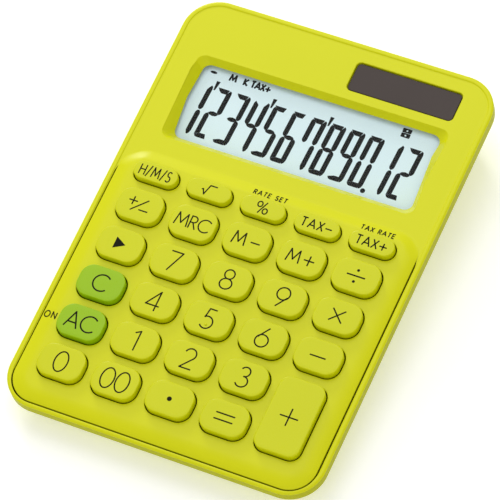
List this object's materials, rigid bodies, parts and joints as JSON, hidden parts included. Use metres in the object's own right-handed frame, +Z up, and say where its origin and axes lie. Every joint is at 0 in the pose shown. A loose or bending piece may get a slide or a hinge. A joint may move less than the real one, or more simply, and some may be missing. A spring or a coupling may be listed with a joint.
{
  "type": "desk calculator",
  "caption": "Wedge-shaped desk calculator with a tilted display, a solar cell and spring-back keys that slide square to its face.",
  "frame": {"origin": "under the middle of the case, on the surface that the feet stand on", "axes": "+X to the user's right across the case, +Y from the user towards the high back edge, +Z up"},
  "size_m": [0.105, 0.1493, 0.0227],
  "materials": {
    "lime_case": "fine satin moulded ABS",
    "lime_lower_case": "satin moulded ABS",
    "lime_key": "satin moulded key cap",
    "green_key": "satin moulded key cap",
    "clear_window": "clear acrylic",
    "display_glass": "liquid crystal glass over a pale reflector",
    "inner_plastic": "moulded holder",
    "printed_film": "polyimide film",
    "smoked_window": "smoked acrylic",
    "solar_cell": "amorphous silicon on glass",
    "red_lead": "PVC insulation",
    "black_lead": "PVC insulation",
    "silicone": "moulded silicone rubber",
    "board": "solder mask over glass fibre laminate",
    "epoxy": "cured epoxy",
    "nickel": "nickel plated steel",
    "steel": "zinc plated steel",
    "foot_rubber": "moulded rubber"
  },
  "bodies": {
    "case": {"front_case": "lime_case", "rear_case": "lime_lower_case", "battery_door": "lime_lower_case", "lcd_window": "clear_window", "lcd_panel": "display_glass", "lcd_holder": "inner_plastic", "lcd_film": "printed_film", "solar_window": "smoked_window", "solar_cell": "solar_cell", "solar_lead_plus": "red_lead", "solar_lead_minus": "black_lead", "rubber_key_mat": "silicone", "circuit_board": "board", "chip_blob": "epoxy", "button_cell": "nickel", "battery_contact_side": "nickel", "battery_contact_top": "nickel", "battery_door_screw": "steel", "case_screw_front_left": "steel", "case_screw_front_right": "steel", "case_screw_middle_left": "steel", "case_screw_middle_right": "steel", "case_screw_rear_left": "steel", "case_screw_rear_middle": "steel", "board_screw_front_left": "steel", "board_screw_front_right": "steel", "board_screw_rear": "steel", "foot_front_left": "foot_rubber", "foot_front_right": "foot_rubber", "foot_rear_left": "foot_rubber", "foot_rear_right": "foot_rubber"},
    "key_hms": {"key_hms": "lime_key"},
    "key_sqrt": {"key_sqrt": "lime_key"},
    "key_percent": {"key_percent": "lime_key"},
    "key_tax_minus": {"key_tax_minus": "lime_key"},
    "key_tax_plus": {"key_tax_plus": "lime_key"},
    "key_sign": {"key_sign": "lime_key"},
    "key_mrc": {"key_mrc": "lime_key"},
    "key_m_minus": {"key_m_minus": "lime_key"},
    "key_m_plus": {"key_m_plus": "lime_key"},
    "key_divide": {"key_divide": "lime_key"},
    "key_backspace": {"key_backspace": "lime_key"},
    "key_7": {"key_7": "lime_key"},
    "key_8": {"key_8": "lime_key"},
    "key_9": {"key_9": "lime_key"},
    "key_multiply": {"key_multiply": "lime_key"},
    "key_c": {"key_c": "green_key"},
    "key_4": {"key_4": "lime_key"},
    "key_5": {"key_5": "lime_key"},
    "key_6": {"key_6": "lime_key"},
    "key_minus": {"key_minus": "lime_key"},
    "key_ac": {"key_ac": "green_key"},
    "key_1": {"key_1": "lime_key"},
    "key_2": {"key_2": "lime_key"},
    "key_3": {"key_3": "lime_key"},
    "key_plus": {"key_plus": "lime_key"},
    "key_0": {"key_0": "lime_key"},
    "key_00": {"key_00": "lime_key"},
    "key_point": {"key_point": "lime_key"},
    "key_equals": {"key_equals": "lime_key"}
  },
  "joints": [
    {"name": "key_hms_press", "type": "slide", "parent": "case", "child": "key_hms", "axis": [0, 0.0872, -0.9962], "range_m": [0, 0.0012], "stiffness_N_per_m": 500, "springref_m": -0.0008, "deforming": ["rubber_key_mat"]},
    {"name": "key_sqrt_press", "type": "slide", "parent": "case", "child": "key_sqrt", "axis": [0, 0.0872, -0.9962], "range_m": [0, 0.0012], "stiffness_N_per_m": 500, "springref_m": -0.0008, "deforming": ["rubber_key_mat"]},
    {"name": "key_percent_press", "type": "slide", "parent": "case", "child": "key_percent", "axis": [0, 0.0872, -0.9962], "range_m": [0, 0.0012], "stiffness_N_per_m": 500, "springref_m": -0.0008, "deforming": ["rubber_key_mat"]},
    {"name": "key_tax_minus_press", "type": "slide", "parent": "case", "child": "key_tax_minus", "axis": [0, 0.0872, -0.9962], "range_m": [0, 0.0012], "stiffness_N_per_m": 500, "springref_m": -0.0008, "deforming": ["rubber_key_mat"]},
    {"name": "key_tax_plus_press", "type": "slide", "parent": "case", "child": "key_tax_plus", "axis": [0, 0.0872, -0.9962], "range_m": [0, 0.0012], "stiffness_N_per_m": 500, "springref_m": -0.0008, "deforming": ["rubber_key_mat"]},
    {"name": "key_sign_press", "type": "slide", "parent": "case", "child": "key_sign", "axis": [0, 0.0872, -0.9962], "range_m": [0, 0.0012], "stiffness_N_per_m": 500, "springref_m": -0.0008, "deforming": ["rubber_key_mat"]},
    {"name": "key_mrc_press", "type": "slide", "parent": "case", "child": "key_mrc", "axis": [0, 0.0872, -0.9962], "range_m": [0, 0.0012], "stiffness_N_per_m": 500, "springref_m": -0.0008, "deforming": ["rubber_key_mat"]},
    {"name": "key_m_minus_press", "type": "slide", "parent": "case", "child": "key_m_minus", "axis": [0, 0.0872, -0.9962], "range_m": [0, 0.0012], "stiffness_N_per_m": 500, "springref_m": -0.0008, "deforming": ["rubber_key_mat"]},
    {"name": "key_m_plus_press", "type": "slide", "parent": "case", "child": "key_m_plus", "axis": [0, 0.0872, -0.9962], "range_m": [0, 0.0012], "stiffness_N_per_m": 500, "springref_m": -0.0008, "deforming": ["rubber_key_mat"]},
    {"name": "key_divide_press", "type": "slide", "parent": "case", "child": "key_divide", "axis": [0, 0.0872, -0.9962], "range_m": [0, 0.0012], "stiffness_N_per_m": 500, "springref_m": -0.0008, "deforming": ["rubber_key_mat"]},
    {"name": "key_backspace_press", "type": "slide", "parent": "case", "child": "key_backspace", "axis": [0, 0.0872, -0.9962], "range_m": [0, 0.0012], "stiffness_N_per_m": 500, "springref_m": -0.0008, "deforming": ["rubber_key_mat"]},
    {"name": "key_7_press", "type": "slide", "parent": "case", "child": "key_7", "axis": [0, 0.0872, -0.9962], "range_m": [0, 0.0012], "stiffness_N_per_m": 500, "springref_m": -0.0008, "deforming": ["rubber_key_mat"]},
    {"name": "key_8_press", "type": "slide", "parent": "case", "child": "key_8", "axis": [0, 0.0872, -0.9962], "range_m": [0, 0.0012], "stiffness_N_per_m": 500, "springref_m": -0.0008, "deforming": ["rubber_key_mat"]},
    {"name": "key_9_press", "type": "slide", "parent": "case", "child": "key_9", "axis": [0, 0.0872, -0.9962], "range_m": [0, 0.0012], "stiffness_N_per_m": 500, "springref_m": -0.0008, "deforming": ["rubber_key_mat"]},
    {"name": "key_multiply_press", "type": "slide", "parent": "case", "child": "key_multiply", "axis": [0, 0.0872, -0.9962], "range_m": [0, 0.0012], "stiffness_N_per_m": 500, "springref_m": -0.0008, "deforming": ["rubber_key_mat"]},
    {"name": "key_c_press", "type": "slide", "parent": "case", "child": "key_c", "axis": [0, 0.0872, -0.9962], "range_m": [0, 0.0012], "stiffness_N_per_m": 500, "springref_m": -0.0008, "deforming": ["rubber_key_mat"]},
    {"name": "key_4_press", "type": "slide", "parent": "case", "child": "key_4", "axis": [0, 0.0872, -0.9962], "range_m": [0, 0.0012], "stiffness_N_per_m": 500, "springref_m": -0.0008, "deforming": ["rubber_key_mat"]},
    {"name": "key_5_press", "type": "slide", "parent": "case", "child": "key_5", "axis": [0, 0.0872, -0.9962], "range_m": [0, 0.0012], "stiffness_N_per_m": 500, "springref_m": -0.0008, "deforming": ["rubber_key_mat"]},
    {"name": "key_6_press", "type": "slide", "parent": "case", "child": "key_6", "axis": [0, 0.0872, -0.9962], "range_m": [0, 0.0012], "stiffness_N_per_m": 500, "springref_m": -0.0008, "deforming": ["rubber_key_mat"]},
    {"name": "key_minus_press", "type": "slide", "parent": "case", "child": "key_minus", "axis": [0, 0.0872, -0.9962], "range_m": [0, 0.0012], "stiffness_N_per_m": 500, "springref_m": -0.0008, "deforming": ["rubber_key_mat"]},
    {"name": "key_ac_press", "type": "slide", "parent": "case", "child": "key_ac", "axis": [0, 0.0872, -0.9962], "range_m": [0, 0.0012], "stiffness_N_per_m": 500, "springref_m": -0.0008, "deforming": ["rubber_key_mat"]},
    {"name": "key_1_press", "type": "slide", "parent": "case", "child": "key_1", "axis": [0, 0.0872, -0.9962], "range_m": [0, 0.0012], "stiffness_N_per_m": 500, "springref_m": -0.0008, "deforming": ["rubber_key_mat"]},
    {"name": "key_2_press", "type": "slide", "parent": "case", "child": "key_2", "axis": [0, 0.0872, -0.9962], "range_m": [0, 0.0012], "stiffness_N_per_m": 500, "springref_m": -0.0008, "deforming": ["rubber_key_mat"]},
    {"name": "key_3_press", "type": "slide", "parent": "case", "child": "key_3", "axis": [0, 0.0872, -0.9962], "range_m": [0, 0.0012], "stiffness_N_per_m": 500, "springref_m": -0.0008, "deforming": ["rubber_key_mat"]},
    {"name": "key_plus_press", "type": "slide", "parent": "case", "child": "key_plus", "axis": [0, 0.0872, -0.9962], "range_m": [0, 0.0012], "stiffness_N_per_m": 600, "springref_m": -0.0008, "deforming": ["rubber_key_mat"]},
    {"name": "key_0_press", "type": "slide", "parent": "case", "child": "key_0", "axis": [0, 0.0872, -0.9962], "range_m": [0, 0.0012], "stiffness_N_per_m": 500, "springref_m": -0.0008, "deforming": ["rubber_key_mat"]},
    {"name": "key_00_press", "type": "slide", "parent": "case", "child": "key_00", "axis": [0, 0.0872, -0.9962], "range_m": [0, 0.0012], "stiffness_N_per_m": 500, "springref_m": -0.0008, "deforming": ["rubber_key_mat"]},
    {"name": "key_point_press", "type": "slide", "parent": "case", "child": "key_point", "axis": [0, 0.0872, -0.9962], "range_m": [0, 0.0012], "stiffness_N_per_m": 500, "springref_m": -0.0008, "deforming": ["rubber_key_mat"]},
    {"name": "key_equals_press", "type": "slide", "parent": "case", "child": "key_equals", "axis": [0, 0.0872, -0.9962], "range_m": [0, 0.0012], "stiffness_N_per_m": 500, "springref_m": -0.0008, "deforming": ["rubber_key_mat"]}
  ]
}
